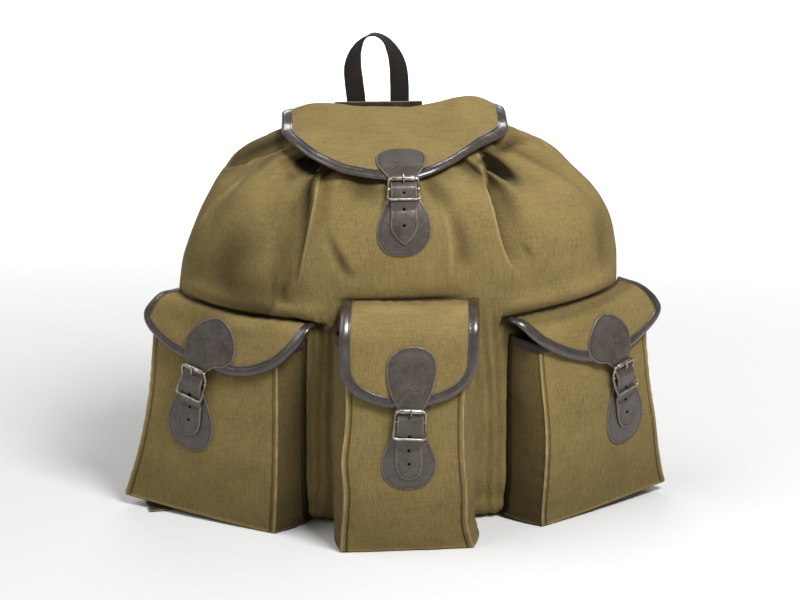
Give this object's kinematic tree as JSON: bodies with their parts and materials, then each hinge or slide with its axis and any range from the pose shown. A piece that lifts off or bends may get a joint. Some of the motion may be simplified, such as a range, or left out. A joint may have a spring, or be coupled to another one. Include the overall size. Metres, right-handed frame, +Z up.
{
  "type": "rucksack",
  "caption": "Soft canvas hunting rucksack with a gathered top, a bound lid, box pockets with bound flaps, strap-and-buckle closures, a carry loop and shoulder straps.",
  "frame": {"origin": "on the ground, under the middle of the rucksack's bounding box", "axes": "+X is the wearer's left-to-right width as seen from the front, -Y is the front with the pockets, +Z is up"},
  "size_m": [0.632, 0.3214, 0.5315],
  "materials": {
    "olive_canvas": "matte olive-brown cotton canvas with a fine slub",
    "binding_leather": "satin dark brown-grey leather, folded over an edge and stitched",
    "strap_leather": "satin dark brown leather with lighter cut edges",
    "mouth_tape": "dark brown woven tape",
    "webbing": "very dark brown woven webbing",
    "nickel_steel": "nickelled steel wire, softly brushed"
  },
  "bodies": {
    "root": {"back_yoke": "strap_leather", "bag_body": "olive_canvas", "buckle_frame_centre": "nickel_steel", "buckle_frame_left": "nickel_steel", "buckle_frame_lid": "nickel_steel", "buckle_frame_right": "nickel_steel", "buckle_prong_centre": "nickel_steel", "buckle_prong_left": "nickel_steel", "buckle_prong_lid": "nickel_steel", "buckle_prong_right": "nickel_steel", "buckle_roller_centre": "nickel_steel", "buckle_roller_left": "nickel_steel", "buckle_roller_lid": "nickel_steel", "buckle_roller_right": "nickel_steel", "carry_loop": "webbing", "flap_centre": "olive_canvas", "flap_centre_binding": "binding_leather", "flap_left": "olive_canvas", "flap_left_binding": "binding_leather", "flap_right": "olive_canvas", "flap_right_binding": "binding_leather", "lid": "olive_canvas", "lid_binding": "binding_leather", "mouth_tape_centre": "mouth_tape", "mouth_tape_left": "mouth_tape", "mouth_tape_right": "mouth_tape", "patch_centre": "strap_leather", "patch_left": "strap_leather", "patch_lid": "strap_leather", "patch_right": "strap_leather", "pocket_centre": "olive_canvas", "pocket_left": "olive_canvas", "pocket_right": "olive_canvas", "shoulder_strap_left": "strap_leather", "shoulder_strap_right": "strap_leather", "strap_anchor_left": "strap_leather", "strap_anchor_right": "strap_leather", "strap_centre": "strap_leather", "strap_end_left": "strap_leather", "strap_left": "strap_leather", "strap_lid": "strap_leather", "strap_right": "strap_leather", "strap_ring_left": "nickel_steel", "strap_ring_right": "nickel_steel", "strap_tail_left": "strap_leather", "strap_tail_right": "strap_leather"}
  },
  "joints": []
}
